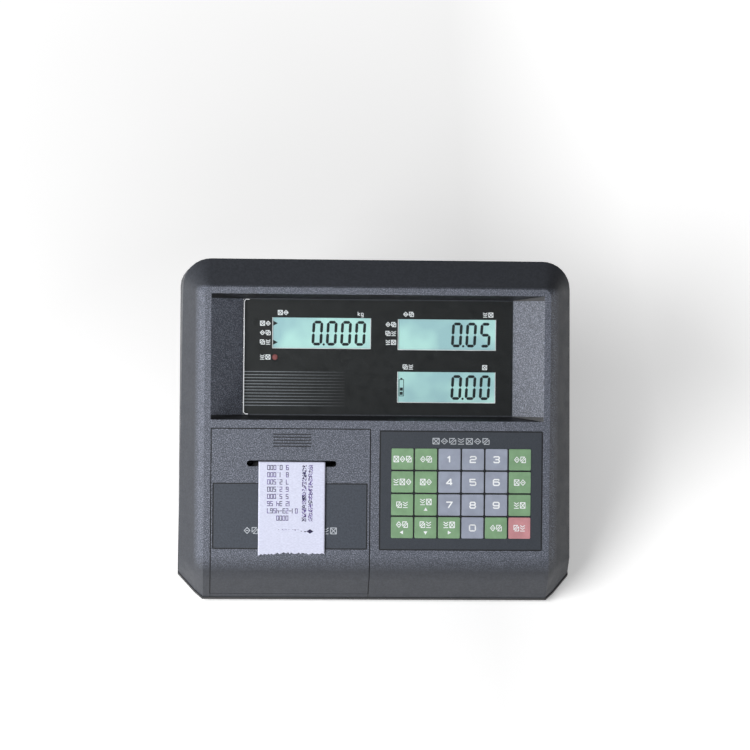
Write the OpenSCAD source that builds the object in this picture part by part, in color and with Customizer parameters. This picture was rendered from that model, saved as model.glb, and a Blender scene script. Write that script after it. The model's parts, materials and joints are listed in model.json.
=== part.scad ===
// Desktop weighing indicator with a sloping front panel, a three-window display, a 24-key pad
// and a built-in strip printer behind a push-off cover.
// Millimetres. The front faces -Y, +X is to the right, +Z is up. The origin is on the surface
// the feet stand on, under the middle of the case.

/* [Case] */
// Overall width of the hood
case_w = 265.2; // [263:0.2:270]
// Overall depth of the hood, lip to back wall
case_d = 162; // [160:1:170]
// Slope of the front panel from level
tilt = 45; // [44:1:46]
// Height of the sharp corner between lip and panel
corner_z = 30.5; // [30:0.5:34]
// Length of the flat part of the panel, up the slope
face_len = 182.2; // [182:0.2:184]
// Thickness of the moulded walls
wall = 2.5; // [2.3:0.1:2.6]
// Height of the rubber feet
foot_h = 3; // [2:0.5:4]

/* [Display] */
// Width of the recess mouth
recess_w = 223.6; // [220:0.2:224]
// Height of the recess mouth, up the slope
recess_h = 84.4; // [82:0.2:85]
// Depth from the panel to the recess floor
recess_depth = 16; // [15:0.5:18]
// Width of the clear lens
lens_w = 181.8; // [176:0.2:184]
// Height of the clear lens
lens_h = 78; // [76:0.5:78]

/* [Keypad] */
// Width of the key overlay
pad_w = 109.6; // [108:0.2:110]
// Height of the key overlay
pad_h = 80.2; // [78:0.2:81]
// Key spacing across
key_pitch_u = 15.8; // [15.5:0.1:16]
// Key spacing up the slope
key_pitch_v = 15.3; // [15:0.1:15.5]
// Key travel when pressed
key_travel = 0.5; // [0.3:0.1:0.6]

/* [Printer] */
// Width of the printer cover
cover_w = 106.2; // [105:0.2:107]
// Width of the paper strip
paper_w = 44.5; // [40:0.5:46]
// Radius of a full paper roll
roll_r = 16; // [12:0.5:16]

/* [Hidden] */
$fn = 48;
eps = 0.01;
gap = 0.35;              // seam between separate mouldings
slip = 0.06;             // radial running fit of shafts

pan_t = 2;               // base pan thickness
pan_rim = 0.4;           // base pan standing out past the hood
hood_z = foot_h + pan_t; // lower edge of the hood
lip_r = 20;              // rounding between lip and panel
lip_steps = 9;
lip_run = lip_r * tan((90 - tilt) / 2);
half_w = case_w / 2;
flat_half = half_w - 16.7;     // half width of the flat panel
crease_half = half_w - 11.3;   // half width at the crease between chamfer and bevel
crease_drop = 6;               // how far the crease lies behind the panel
edge_drop = 22;                // how far the widest edge lies behind the panel
flat_corner_r = 5;             // rounding of the flat panel's two top corners
corner_r = 18.7;               // rounding of the two top corners at the roof
back_corner_r = 26;            // rounding of the back wall's two top corners
roof_z = corner_z + (lip_run + face_len) * sin(tilt);
roof_drop = (case_d - (lip_run + face_len) * cos(tilt)) * sin(tilt); // roof's back edge, behind the panel
inner_back = case_d - wall;

recess_v = 93.4;               // lower edge of the recess mouth
recess_mid = recess_v + recess_h / 2;
lens_u = 0.8;                  // middle of the lens, right of the middle of the case
lens_t = 1.8;
lens_n = -recess_depth + 0.6;  // rear face of the lens
mask_t = 0.4;
window_rim = 3;                // recess floor left around the display window
lcd_h = 20.6;
lcd_w = 66;
lcds = [[-38.2, 16.2], [46.4, 15.8], [46.3, -19.7]]; // middles, from the lens middle
led_at = [-69.6, -0.2];
led_r = 1.9;

pad_u = 1.6;                   // left edge of the overlay
pad_v = 6.8;                   // lower edge of the overlay
pad_t = 1.1;
key_w = 14.7;
key_h = 14.2;
key_cols = 6;
key_rows = 4;
key_gap = 0.15;
keys_mid = [56.4, 45];
key_top = 0.2;
key_t = 2.4;

cover_u = -111;                // left edge of the cover
cover_v = 87.6;                // upper edge of the cover
cover_z = 8.6;                 // lower edge of the cover, on the lip
cover_t = 2;
strip_u = -57.1;               // middle of the paper, roll and print mechanism
slot_v = 64.4;
slot_w = 60;
slot_h = 4;
label_v = 7;
label_w = 103.7;
label_h = 44.5;
tub_t = 1.6;
tub_bottom = -40;
roll_at = [32, -22];           // roll axis, up the slope and behind the panel
frame_half = 36;
frame_t = 2;
roller_at = [62, -12];
roller_r = 4;
shaft_r = 1.5;
pinion_at = [62, -25];
gear_teeth = 20;
pinion_teeth = 10;
gear_module = 2 * (roller_at[1] - pinion_at[1]) / (gear_teeth + pinion_teeth);
rod_n = [-15, -25];
rod_v = 80;

board_t = 1.6;
main_z = 12;
seat_y = inner_back - 2;       // outer face of the rear panel plate
panel_x = [-10, 124];          // rear opening, left and right
panel_lap = 3.5;               // rear panel behind the edges of its opening
panel_z = [16, 58];            // rear opening, bottom and top
socket_z = 37;
inlet_x = 107;
switch_x = 80;
cell_x = 47.5;
serial_x = 9;
rocker_angle = 12;             // swing of the power rocker
foot_at = [104, 62];           // from the middle of the case
screw_at = [116, 62];

// ---- frames and helpers ----

// The case frame: y = 0 at the front of the lip.
module in_case() {
    translate([0, -case_d / 2, 0]) children();
}

// The panel frame: x across, y up the slope from the lower end of the flat, z out of the panel.
module on_panel() {
    in_case()
        translate([0, 0, corner_z])
            rotate([tilt, 0, 0])
                translate([0, lip_run, 0])
                    children();
}

// A box given by its low corner and its high corner.
module span(low, high) {
    translate(low) cube(high - low);
}

// A rounded rectangle, centred, standing on z = 0.
module slab(w, h, r, t) {
    linear_extrude(t)
        rounded_outline(w, h, r);
}

module rounded_outline(w, h, r) {
    square([w - 2 * r, h], center = true);
    square([w, h - 2 * r], center = true);
    for (x = [-1, 1], y = [-1, 1])
        translate([x * (w / 2 - r), y * (h / 2 - r)]) circle(r);
}

// A rod along x, centred on x = 0.
module rod_x(r, length) {
    rotate([0, 90, 0]) cylinder(r = r, h = length, center = true);
}

// The rounded corner between lip and panel in the side profile, laid back by d.
function lip_arc(d) = d >= lip_r
    ? [[d, corner_z - d * (1 - sin(tilt)) / cos(tilt)]]
    : [for (i = [0 : lip_steps])
        let (a = 180 - i * (90 - tilt) / lip_steps)
        [lip_r + (lip_r - d) * cos(a),
         corner_z - lip_r * (1 - sin(tilt)) / cos(tilt) + (lip_r - d) * sin(a)]];

// The lip and base as wide as half on each side, laid back by d.
module lip_slab(half, d, t, bottom) {
    rotate([90, 0, 90])
        linear_extrude(2 * half, center = true)
            polygon(concat([[d, bottom]], lip_arc(d), [[case_d - t, bottom]]));
}

// A thin slice across the case, parallel to the panel and behind it, with rounded top corners.
module panel_slice(drop, half, top, r) {
    translate([0, 0, corner_z])
        rotate([tilt, 0, 0])
            translate([0, lip_run, -drop - eps])
                linear_extrude(eps)
                    arch(half, 4, top, r);
}

// An outline with a straight foot and two rounded top corners.
module arch(half, foot, top, r) {
    translate([-half, foot]) square([2 * half, 1]);
    for (s = [-1, 1])
        translate([s * (half - r), top - r]) circle(r, $fn = 32);
}

// Half width of the bevel at a depth between the crease and the widest edge.
function bevel_half(drop) = crease_half + (half_w - crease_half) * (drop - crease_drop) / (edge_drop - crease_drop);

// Height of the roof, up the slope, at a depth behind the panel.
function roof_top(drop) = face_len + drop / tan(tilt);

// The solid inside the case skin, in by t all round.
module case_solid(t, bottom) {
    hull() {
        lip_slab(flat_half - t * 0.2, t, t, bottom);
        lip_slab(crease_half - t * 0.5, crease_drop + t * 0.9, t, bottom);
        lip_slab(half_w - t, edge_drop + t * 0.4, t, bottom);
        panel_slice(t, flat_half - t * 0.2, roof_top(t) - t / sin(tilt), flat_corner_r);
        panel_slice(crease_drop + t, crease_half - t, roof_top(crease_drop + t) - t / sin(tilt), corner_r / 2);
        panel_slice(roof_drop, bevel_half(roof_drop) - t, roof_top(roof_drop) - t / sin(tilt), corner_r - t);
        translate([0, case_d - t, 0])
            rotate([90, 0, 0])
                linear_extrude(eps)
                    arch(half_w - t, bottom, roof_z - t, back_corner_r - t);
    }
}

// The region the printer cover fills, grown by g.
module cover_region(g) {
    intersection() {
        on_panel()
            span([cover_u - g, -3 * lip_r, -3 * lip_r], [cover_u + cover_w + g, cover_v + g, 5]);
        in_case()
            span([-half_w, -5, cover_z - g], [half_w, case_d, roof_z]);
    }
}

// Tapered tub of the display recess, grown by t.
module recess_solid(t, top) {
    hull() {
        translate([0, recess_mid, top])
            linear_extrude(eps) square([recess_w + 2 * t, recess_h + 2 * t], center = true);
        translate([lens_u, recess_mid, -recess_depth - t])
            linear_extrude(eps) square([lens_w + 0.6 + 2 * t, lens_h + 0.6 + 2 * t], center = true);
    }
}

// ---- case ----

module hood() {
    color("#4a4e56") {
        difference() {
            union() {
                difference() {
                    in_case() case_solid(0, hood_z);
                    in_case() case_solid(wall, hood_z - 1);
                }
                intersection() {
                    on_panel() recess_solid(wall, -0.5);
                    in_case() case_solid(0.5, hood_z);
                }
                screw_bosses();
            }
            on_panel() recess_solid(0, 0.02);
            on_panel()
                translate([lens_u, recess_mid, -recess_depth - wall - 1])
                    slab(lens_w - 2 * window_rim, lens_h - 2 * window_rim, 1, wall + 2);
            cover_region(gap);
            keypad_cuts();
            rear_cuts();
            screw_holes();
        }
    }
}

// Posts inside the hood that take the case screws, joined to the side walls.
module screw_bosses() {
    intersection() {
        for (x = [-1, 1], y = [-1, 1])
            translate([x * screw_at[0], y * screw_at[1], hood_z]) {
                cylinder(r = 4, h = 12);
                translate([x > 0 ? 0 : -half_w, -1, 0]) cube([half_w, 2, 12]);
            }
        in_case() case_solid(0.5, hood_z - 1);
    }
}

module screw_holes() {
    for (x = [-1, 1], y = [-1, 1])
        translate([x * screw_at[0], y * screw_at[1], hood_z - 1]) cylinder(r = 1.55, h = 10);
}

// Shallow seat for the overlay and the opening the keys reach through.
module keypad_cuts() {
    on_panel() {
        translate([pad_u + pad_w / 2, pad_v + pad_h / 2, -pad_t - 0.1])
            slab(pad_w + 0.3, pad_h + 0.3, 1, 5);
        translate([keys_mid[0], keys_mid[1], -wall - 1])
            slab(key_cols * key_pitch_u, key_rows * key_pitch_v, 1, 5);
    }
}

// Opening in the back wall for the connector panel.
module rear_cuts() {
    in_case()
        span([panel_x[0], inner_back - 1, panel_z[0]], [panel_x[1], case_d + 1, panel_z[1]]);
}

// Outline of the case on the ground.
module footprint(t) {
    polygon([
        [-flat_half + t, t], [flat_half - t, t],
        [crease_half - t, crease_drop + t], [half_w - t, edge_drop + t],
        [half_w - t, case_d - t], [-half_w + t, case_d - t],
        [-half_w + t, edge_drop + t], [-crease_half + t, crease_drop + t]
    ]);
}

module base_pan() {
    color("#2e3136")
    difference() {
        in_case() {
            translate([0, 0, foot_h]) linear_extrude(pan_t - 0.05) footprint(-pan_rim);
            board_posts() cylinder(r = 3, h = main_z - hood_z + 0.5);
        }
        in_case() board_posts() translate([0, 0, -pan_t - 1]) cylinder(r = 1.25, h = main_z);
        for (x = [-1, 1], y = [-1, 1])
            translate([x * screw_at[0], y * screw_at[1], 0]) cylinder(r = 1.7, h = 10);
        vent_slots();
    }
}

// Posts under the main board.
module board_posts() {
    for (x = [6, 104], y = [30, 80])
        translate([x, y, hood_z - 0.5]) children();
}

module vent_slots() {
    in_case()
        for (i = [0 : 6])
            translate([66 + i * 7, 108, foot_h - 1]) slab(2.5, 28, 1.2, pan_t + 2);
}

module feet() {
    color("#1b1b1c")
    for (x = [-1, 1], y = [-1, 1])
        translate([x * foot_at[0], y * foot_at[1] + (y < 0 ? 8 : 0), 0]) {
            cylinder(r1 = 6, r2 = 7, h = 1);
            translate([0, 0, 1 - eps]) cylinder(r = 7, h = foot_h - 1 + eps);
        }
}

module case_screws() {
    color("#8c9096")
    for (x = [-1, 1], y = [-1, 1])
        translate([x * screw_at[0], y * screw_at[1], foot_h - 1.6])
            difference() {
                union() {
                    cylinder(r = 2.9, h = 1.6);
                    cylinder(r = 1.5, h = 9);
                }
                for (a = [0, 90]) rotate(a) translate([-2, -0.35, -0.1]) cube([4, 0.7, 0.9]);
            }
}

module rear_panel() {
    color("#8f9398")
    in_case()
    difference() {
        span([panel_x[0] - panel_lap, seat_y - 1.6, panel_z[0] - panel_lap],
             [panel_x[1] + panel_lap, inner_back - 0.05, panel_z[1] + panel_lap]);
        span([panel_x[0], seat_y - 0.1, panel_z[0]], [panel_x[1], case_d, panel_z[1]]);
        translate([inlet_x, 0, socket_z]) span([-13.8, seat_y - 5, -10.3], [13.8, case_d, 10.3]);
        translate([switch_x, 0, socket_z]) span([-9.8, seat_y - 5, -6.8], [9.8, case_d, 6.8]);
        socket_cut(cell_x, 28, 33.3);
        socket_cut(serial_x, 19.6, 25);
    }
}

// Cut-out in the rear panel for a shell of width w with jack screws at the given spacing.
module socket_cut(x, w, spacing) {
    translate([x, seat_y - 5, socket_z]) {
        translate([-w / 2, 0, -6.4]) cube([w, 10, 12.8]);
        for (s = [-1, 1])
            translate([s * spacing / 2, 10, 0]) rotate([90, 0, 0]) cylinder(r = 1.6, h = 20);
    }
}

// ---- display ----

module display_lens() {
    color("#26282b", 0.5)
    on_panel() translate([lens_u, recess_mid, lens_n]) slab(lens_w, lens_h, 1, lens_t);
}

module display_mask() {
    color("#18191b")
    on_panel()
    translate([lens_u, recess_mid, lens_n - mask_t - 0.1])
        difference() {
            slab(lens_w - 1, lens_h - 1, 1, mask_t);
            for (p = lcds) translate([p[0], p[1], -1]) slab(lcd_w, lcd_h, 0.5, 2);
            translate([led_at[0], led_at[1], -1]) cylinder(r = led_r + 0.2, h = 2);
        }
}

module lcd_glasses() {
    color("#b2dcd6")
    on_panel()
    for (p = lcds)
        translate([lens_u + p[0], recess_mid + p[1], lens_n - mask_t - 2.4]) slab(lcd_w + 3, lcd_h + 3, 0.5, 2.2);
}

module lcd_backlights() {
    color("#e8ece9")
    on_panel()
    for (p = lcds)
        translate([lens_u + p[0], recess_mid + p[1], lens_n - mask_t - 5.5]) slab(lcd_w + 5, lcd_h + 4, 0.5, 3);
}

module display_board() {
    color("#2f6b46")
    on_panel()
    translate([lens_u, recess_mid, lens_n - mask_t - 7.2])
        difference() {
            slab(lens_w + 2, lens_h + 2, 1, board_t);
            for (x = [-1, 1], y = [-1, 1])
                translate([x * (lens_w / 2 - 4), y * (lens_h / 2 - 4), -1]) cylinder(r = 1.6, h = 4);
        }
}

module status_led() {
    color("#c24a4c")
    on_panel()
    translate([lens_u + led_at[0], recess_mid + led_at[1], lens_n - mask_t - 5.5]) {
        cylinder(r = led_r + 0.5, h = 1);
        cylinder(r = led_r, h = 5.3);
    }
}

// ---- keypad ----

module keypad_overlay() {
    color("#3c424c")
    on_panel()
    difference() {
        translate([pad_u + pad_w / 2, pad_v + pad_h / 2, -pad_t]) slab(pad_w, pad_h, 1, pad_t);
        for (r = [1 : key_rows], c = [1 : key_cols])
            translate(key_place(r, c) - [0, 0, 2]) slab(key_w + 2 * key_gap, key_h + 2 * key_gap, 0.8, 4);
    }
}

function key_place(r, c) = [
    keys_mid[0] + (c - (key_cols + 1) / 2) * key_pitch_u,
    keys_mid[1] - (r - (key_rows + 1) / 2) * key_pitch_v,
    0];

function key_colour(r, c) = (r == 4 && c == 6) ? "#d0787c"
    : (r < 4 && c > 2 && c < 6) || (r == 4 && c == 4) ? "#8f93a5"
    : "#73a573";

module key_cap(r, c) {
    color(key_colour(r, c))
    on_panel()
    translate(key_place(r, c) + [0, 0, key_top - key_t]) {
        slab(key_w, key_h, 0.8, key_t);
    }
}

module keypad_board() {
    color("#2f6b46")
    on_panel()
    translate([keys_mid[0], keys_mid[1], key_top - key_t - key_travel - 0.2 - board_t])
        slab(key_cols * key_pitch_u + 8, key_rows * key_pitch_v + 8, 1, board_t);
}

// ---- printer ----

module printer_cover() {
    color("#565a62")
    difference() {
        intersection() {
            difference() {
                in_case() case_solid(0, cover_z - 2);
                in_case() case_solid(cover_t, cover_z - 3);
            }
            cover_region(0);
        }
        on_panel() {
            translate([strip_u - 0.2, slot_v, -10]) slab(slot_w, slot_h, slot_h / 2 - eps, 20);
            translate([cover_u + 1 + label_w / 2, label_v + label_h / 2, -0.5]) slab(label_w, label_h, 1, 5);
            for (i = [0 : 4])
                translate([strip_u + 0.1, 76 + i * 2, -0.5]) slab(25, 1.1, 0.5, 5);
            translate([strip_u + 0.1, 71.3, -0.5])
                linear_extrude(5) polygon([[0, 0], [12, 3.4], [-12, 3.4]]);
        }
    }
}

module cover_label() {
    color("#4e565e")
    on_panel()
    translate([cover_u + 1 + label_w / 2, label_v + label_h / 2, -0.5]) slab(label_w - 0.3, label_h - 0.3, 1, 0.4);
}

// Strip of printed paper: up through the slot, over its lower edge and down the cover.
module paper_slip() {
    color("#f2f2f6")
    on_panel()
    translate([strip_u + paper_w / 2, 0, 0])
        rotate([0, -90, 0])
            linear_extrude(paper_w)
                polygon(concat(slip_side(0), reversed(slip_side(-0.25))));
}

// Side line of the slip as [out, up] points, moved in by t.
function slip_side(t) = concat(
    [[-5, slot_v + 0.3 + t]],
    [for (a = [0 : 15 : 90]) [0.4 + (1.2 + t) * sin(a), slot_v - 0.9 + (1.2 + t) * cos(a)]],
    [[1.3 + t, 55], [1.0 + t, 40], [0.75 + t, 20], [1.1 + t, 2.4]]);

function reversed(list) = [for (i = [len(list) - 1 : -1 : 0]) list[i]];

module printer_tub() {
    color("#3a3d43")
    on_panel()
    difference() {
        union() {
            span([cover_u - 1.8, 3, -2.7 - tub_t], [cover_u + cover_w + 1.8, cover_v + 2.6, -2.7]);
            span([cover_u + 3, 6, tub_bottom], [cover_u + cover_w - 3, cover_v, -2.7 - tub_t + eps]);
        }
        span([cover_u + 3 + tub_t, 6 + tub_t, tub_bottom + tub_t], [cover_u + cover_w - 3 - tub_t, cover_v - tub_t, 0]);
    }
    on_panel() spindle_forks();
}

// Two uprights on the tub floor that carry the roll spindle.
module spindle_forks() {
    for (s = [-1, 1])
        difference() {
            translate([strip_u + s * (paper_w / 2 + 3), 0, 0])
                span([-1, roll_at[0] - 5, tub_bottom + tub_t - eps], [1, roll_at[0] + 5, roll_at[1] + 5]);
            translate([strip_u, roll_at[0], roll_at[1]]) rod_x(2.5 + slip, 80);
        }
}

module paper_roll() {
    color("#f4f4f2")
    on_panel()
    translate([strip_u, roll_at[0], roll_at[1]])
        difference() {
            rod_x(roll_r, paper_w);
            rod_x(5.4, paper_w + 2);
        }
}

module roll_spindle() {
    color("#c9cbd0")
    on_panel()
    translate([strip_u, roll_at[0], roll_at[1]]) {
        rod_x(5, paper_w + 3);
        rod_x(2.5, paper_w + 10);
    }
}

module printer_frame() {
    color("#9a9da3")
    on_panel()
    difference() {
        union() {
            for (s = [-1, 1])
                translate([strip_u + s * frame_half, 0, 0])
                    span([-frame_t / 2, 54, -36], [frame_t / 2, 85.6, -5]);
            translate([strip_u, 0, 0])
                span([-frame_half, 52, -38], [frame_half, 85.6, -36 + eps]);
        }
        translate([strip_u, roller_at[0], roller_at[1]]) rod_x(shaft_r + slip, 90);
        translate([strip_u, pinion_at[0], pinion_at[1]]) rod_x(shaft_r + slip, 90);
        for (n = rod_n) translate([strip_u, rod_v, n]) rod_x(1.5, 90);
    }
}

module guide_rods() {
    color("#c9cbd0")
    on_panel()
    for (n = rod_n)
        translate([strip_u, rod_v, n]) rod_x(1.5, 2 * frame_half + 4);
}

module head_carriage() {
    color("#2c2e33")
    on_panel()
    difference() {
        translate([strip_u, 0, 0]) {
            span([-7, 75.5, -30], [7, 84.5, -11.6]);
            span([-4, 70.5, -24], [4, 75.5 + eps, -14]);
        }
        for (n = rod_n) translate([strip_u, rod_v, n]) rod_x(1.5 + slip, 90);
    }
}

// A spur gear lying in the plane square to x, with a tooth (or a gap) pointing out of the panel.
module spur_gear(teeth, start, width, bore) {
    pitch_r = teeth * gear_module / 2;
    step = 360 / teeth;
    rotate([0, 90, 0])
        linear_extrude(width, center = true)
            difference() {
                union() {
                    circle(pitch_r - gear_module, $fn = 96);
                    for (i = [0 : teeth - 1])
                        rotate(start + i * step)
                            polygon([
                                [pitch_r - 1.4 * gear_module, -gear_module * 0.75],
                                [pitch_r + 0.75 * gear_module, -gear_module * 0.3],
                                [pitch_r + 0.75 * gear_module, gear_module * 0.3],
                                [pitch_r - 1.4 * gear_module, gear_module * 0.75]]);
                }
                circle(bore);
            }
}

module feed_roller() {
    color("#26272a")
    on_panel()
    translate([strip_u, roller_at[0], roller_at[1]]) {
        rod_x(roller_r, paper_w + 8);
        rod_x(shaft_r, 2 * frame_half + 12);
        translate([frame_half + 3.5, 0, 0]) spur_gear(gear_teeth, 0, 3, shaft_r - 0.2);
    }
}

module drive_motor() {
    color("#a7aab0")
    on_panel()
    translate([strip_u + frame_half - 13, pinion_at[0], pinion_at[1]])
        difference() {
            rod_x(7, 22);
            translate([11, 0, 0]) rod_x(2, 3);
        }
}

module motor_pinion() {
    color("#d9c58a")
    on_panel()
    translate([strip_u, pinion_at[0], pinion_at[1]]) {
        translate([frame_half + 3.5, 0, 0]) spur_gear(pinion_teeth, 180 / pinion_teeth, 3, shaft_r - 0.2);
        translate([frame_half + 0.6, 0, 0]) rod_x(shaft_r, 6.6);
    }
}

module ribbon_cassette() {
    color("#34363b")
    on_panel()
    translate([strip_u, 0, 0]) {
        span([-32, 76, -11], [32, 85.4, -6]);
        for (s = [-1, 1]) translate([s * 22, 80.7, -6.2]) cylinder(r = 3.4, h = 1.4);
    }
}

// ---- inside the case ----

module main_board() {
    color("#2f6b46")
    in_case() {
        difference() {
            span([0, 24, main_z], [110, 86, main_z + board_t]);
            for (x = [6, 104], y = [30, 80])
                translate([x, y, main_z - 1]) cylinder(r = 1.6, h = 4);
        }
        translate([0, 0, main_z + board_t - eps]) {
            span([20, 40, 0], [44, 64, 3]);
            span([56, 56, 0], [70, 66, 2.5]);
            span([76, 36, 0], [96, 44, 9]);
            span([14, 72, 0], [40, 80, 8]);
            for (x = [60, 72, 84]) translate([x, 74, 0]) cylinder(r = 4, h = 13);
        }
    }
}

module transformer() {
    color("#8a8d92")
    in_case() {
        span([60, 90, hood_z], [112, 128, hood_z + 2]);
        span([64, 92, hood_z + 2 - eps], [108, 126, hood_z + 38]);
        span([70, 88, hood_z + 9], [102, 130, hood_z + 31]);
    }
}

module battery() {
    color("#3a3c42")
    in_case() {
        span([-108, 106, hood_z], [-8, 152, hood_z + 66]);
        for (x = [-96, -20]) span([x - 2.4, 126, hood_z + 66 - eps], [x + 2.4, 132, hood_z + 72]);
    }
}

module battery_bracket() {
    color("#a0a3a8")
    in_case()
    difference() {
        span([-64, 96, hood_z], [-52, 153.8, hood_z + 67.5]);
        span([-65, 105.9, hood_z - 1], [-51, 152.1, hood_z + 66.1]);
        span([-65, 95, hood_z + 1.5], [-51, 104.4, hood_z + 80]);
    }
}

module mains_inlet() {
    color("#1f2023")
    in_case()
    translate([inlet_x, 0, socket_z])
    difference() {
        union() {
            span([-13.5, seat_y - 22, -10], [13.5, seat_y + 0.2, 10]);
            translate([0, seat_y + 2.1, 0]) rotate([90, 0, 0]) slab(31, 24, 2, 2);
        }
        span([-12, seat_y - 16, -8], [12, seat_y + 5, 8]);
    }
    color("#c9cbd0")
    in_case()
    for (p = [[-7, -1], [0, 3], [7, -1]])
        translate([inlet_x + p[0] - 1, seat_y - 17, socket_z + p[1] - 2]) cube([2, 14, 4]);
}

module switch_housing() {
    color("#1f2023")
    in_case()
    translate([switch_x, 0, socket_z])
    difference() {
        union() {
            span([-9.5, seat_y - 14, -6.5], [9.5, seat_y + 0.2, 6.5]);
            translate([0, seat_y + 2.1, 0]) rotate([90, 0, 0]) slab(21.5, 15.5, 1, 2);
        }
        span([-8.2, seat_y - 10, -5.2], [8.2, seat_y + 5, 5.2]);
        translate([0, seat_y - 4, 0]) cylinder(r = 1.2 + slip, h = 12.4, center = true);
    }
}

module power_rocker() {
    color("#b23c3e")
    in_case()
    translate([switch_x, seat_y - 4, socket_z]) {
        cylinder(r = 1.2, h = 12, center = true);
        rotate(rocker_angle / 2)
            translate([0, 0, -4.8])
                linear_extrude(9.6)
                    polygon([[-7, 4.4], [-7, 6.6], [0, 4.6], [7, 6.6], [7, 4.4], [3, -2.4], [-3, -2.4]]);
    }
}

// Socket shell of width w with a flange and two jack screws.
module shell_socket(x, w, spacing) {
    in_case()
    translate([x, 0, socket_z]) {
        difference() {
            union() {
                span([-w / 2, seat_y - 9, -5.6], [w / 2, seat_y + 4, 5.6]);
                span([-spacing / 2 - 4, seat_y - 3.8, -6.2], [spacing / 2 + 4, seat_y - 1.8, 6.2]);
            }
            span([-w / 2 + 1, seat_y - 3, -4.6], [w / 2 - 1, seat_y + 6, 4.6]);
        }
        for (s = [-1, 1])
            translate([s * spacing / 2, seat_y - 1.9, 0])
                rotate([-90, 0, 0])
                    difference() {
                        cylinder(r = 1.5, h = 2.2);
                        translate([0, 0, 0.4]) cylinder(r = 0.9, h = 4);
                    }
    }
}

module loadcell_socket() {
    color("#b9bcc2") shell_socket(cell_x, 26, 33.3);
}

module serial_socket() {
    color("#b9bcc2") shell_socket(serial_x, 18, 25);
}

// ---- build ----

hood();
base_pan();
rear_panel();
feet();
case_screws();
display_lens();
display_mask();
lcd_glasses();
lcd_backlights();
display_board();
status_led();
keypad_overlay();
keypad_board();
for (r = [1 : key_rows], c = [1 : key_cols])
    key_cap(r, c);
printer_cover();
cover_label();
paper_slip();
printer_tub();
paper_roll();
roll_spindle();
printer_frame();
guide_rods();
head_carriage();
feed_roller();
drive_motor();
motor_pinion();
ribbon_cassette();
main_board();
transformer();
battery();
battery_bracket();
mains_inlet();
switch_housing();
power_rocker();
loadcell_socket();
serial_socket();
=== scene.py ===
"""Looks of the weighing indicator: materials, printed marks, display segments, paper, light and camera."""
import json
import math
import random

import bpy
from mathutils import Matrix, Vector


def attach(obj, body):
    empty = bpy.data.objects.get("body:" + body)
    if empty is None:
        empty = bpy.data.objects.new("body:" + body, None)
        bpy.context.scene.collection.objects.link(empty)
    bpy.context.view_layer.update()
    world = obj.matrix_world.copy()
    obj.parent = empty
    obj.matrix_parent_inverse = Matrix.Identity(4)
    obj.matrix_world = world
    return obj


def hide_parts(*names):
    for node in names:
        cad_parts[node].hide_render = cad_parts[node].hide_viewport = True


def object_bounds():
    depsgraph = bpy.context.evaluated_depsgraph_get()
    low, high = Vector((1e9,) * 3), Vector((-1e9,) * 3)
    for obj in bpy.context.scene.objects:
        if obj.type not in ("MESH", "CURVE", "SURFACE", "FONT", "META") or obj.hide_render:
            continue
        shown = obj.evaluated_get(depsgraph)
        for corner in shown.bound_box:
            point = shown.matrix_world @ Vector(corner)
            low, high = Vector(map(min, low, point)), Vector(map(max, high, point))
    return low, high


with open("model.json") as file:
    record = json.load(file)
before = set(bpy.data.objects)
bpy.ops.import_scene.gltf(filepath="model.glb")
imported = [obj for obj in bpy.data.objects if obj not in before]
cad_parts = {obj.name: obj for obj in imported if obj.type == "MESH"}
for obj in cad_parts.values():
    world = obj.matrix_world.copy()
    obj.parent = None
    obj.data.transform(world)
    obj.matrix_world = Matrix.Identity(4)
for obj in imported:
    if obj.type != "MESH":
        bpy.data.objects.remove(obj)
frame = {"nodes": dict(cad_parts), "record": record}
CAD_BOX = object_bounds()
RECORD = frame["record"]
NODES = frame["nodes"]
MM = 0.001


# ---- panel frame: across, up the slope, out of the panel ----

def press_direction():
    """The way a key is pressed, which is straight into the panel."""
    for joint in RECORD["behaviour"]["joints"]:
        if joint["name"].startswith("press_"):
            return Vector(joint["axis"]).normalized()
    raise ValueError("no key joint")


ACROSS = Vector((1, 0, 0))
OUT = -press_direction()
UP = OUT.cross(ACROSS)


def panel_box(node):
    """Lowest and highest (across, up, out) of a CAD node, in metres."""
    spots = [(v.co.dot(ACROSS), v.co.dot(UP), v.co.dot(OUT)) for v in NODES[node].data.vertices]
    return Vector(map(min, *spots)), Vector(map(max, *spots))


def panel_point(u, v, n):
    """A spot or a direction from its parts across, up the slope and out."""
    return ACROSS * u + UP * v + OUT * n


PAD_LOW, PAD_HIGH = panel_box("keypad_overlay")
LENS_LOW, LENS_HIGH = panel_box("display_lens")
MASK_LOW, MASK_HIGH = panel_box("display_mask")
COVER_LOW, COVER_HIGH = panel_box("printer_cover")
LABEL_LOW, LABEL_HIGH = panel_box("cover_label")
SLIP_LOW, SLIP_HIGH = panel_box("paper_slip")
GLASS_LOW, GLASS_HIGH = panel_box("lcd_glasses")
LED_LOW, LED_HIGH = panel_box("status_led")
PANEL_N = PAD_HIGH.z                      # height of the panel face along OUT
PAD_MARGIN = 6.8 * MM                     # from the lower end of the flat panel to the keypad
PANEL_LOW_V = PAD_LOW.y - PAD_MARGIN
PANEL_LENGTH = 182.2 * MM
PANEL_HIGH_V = PANEL_LOW_V + PANEL_LENGTH


# ---- node helpers ----

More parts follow.
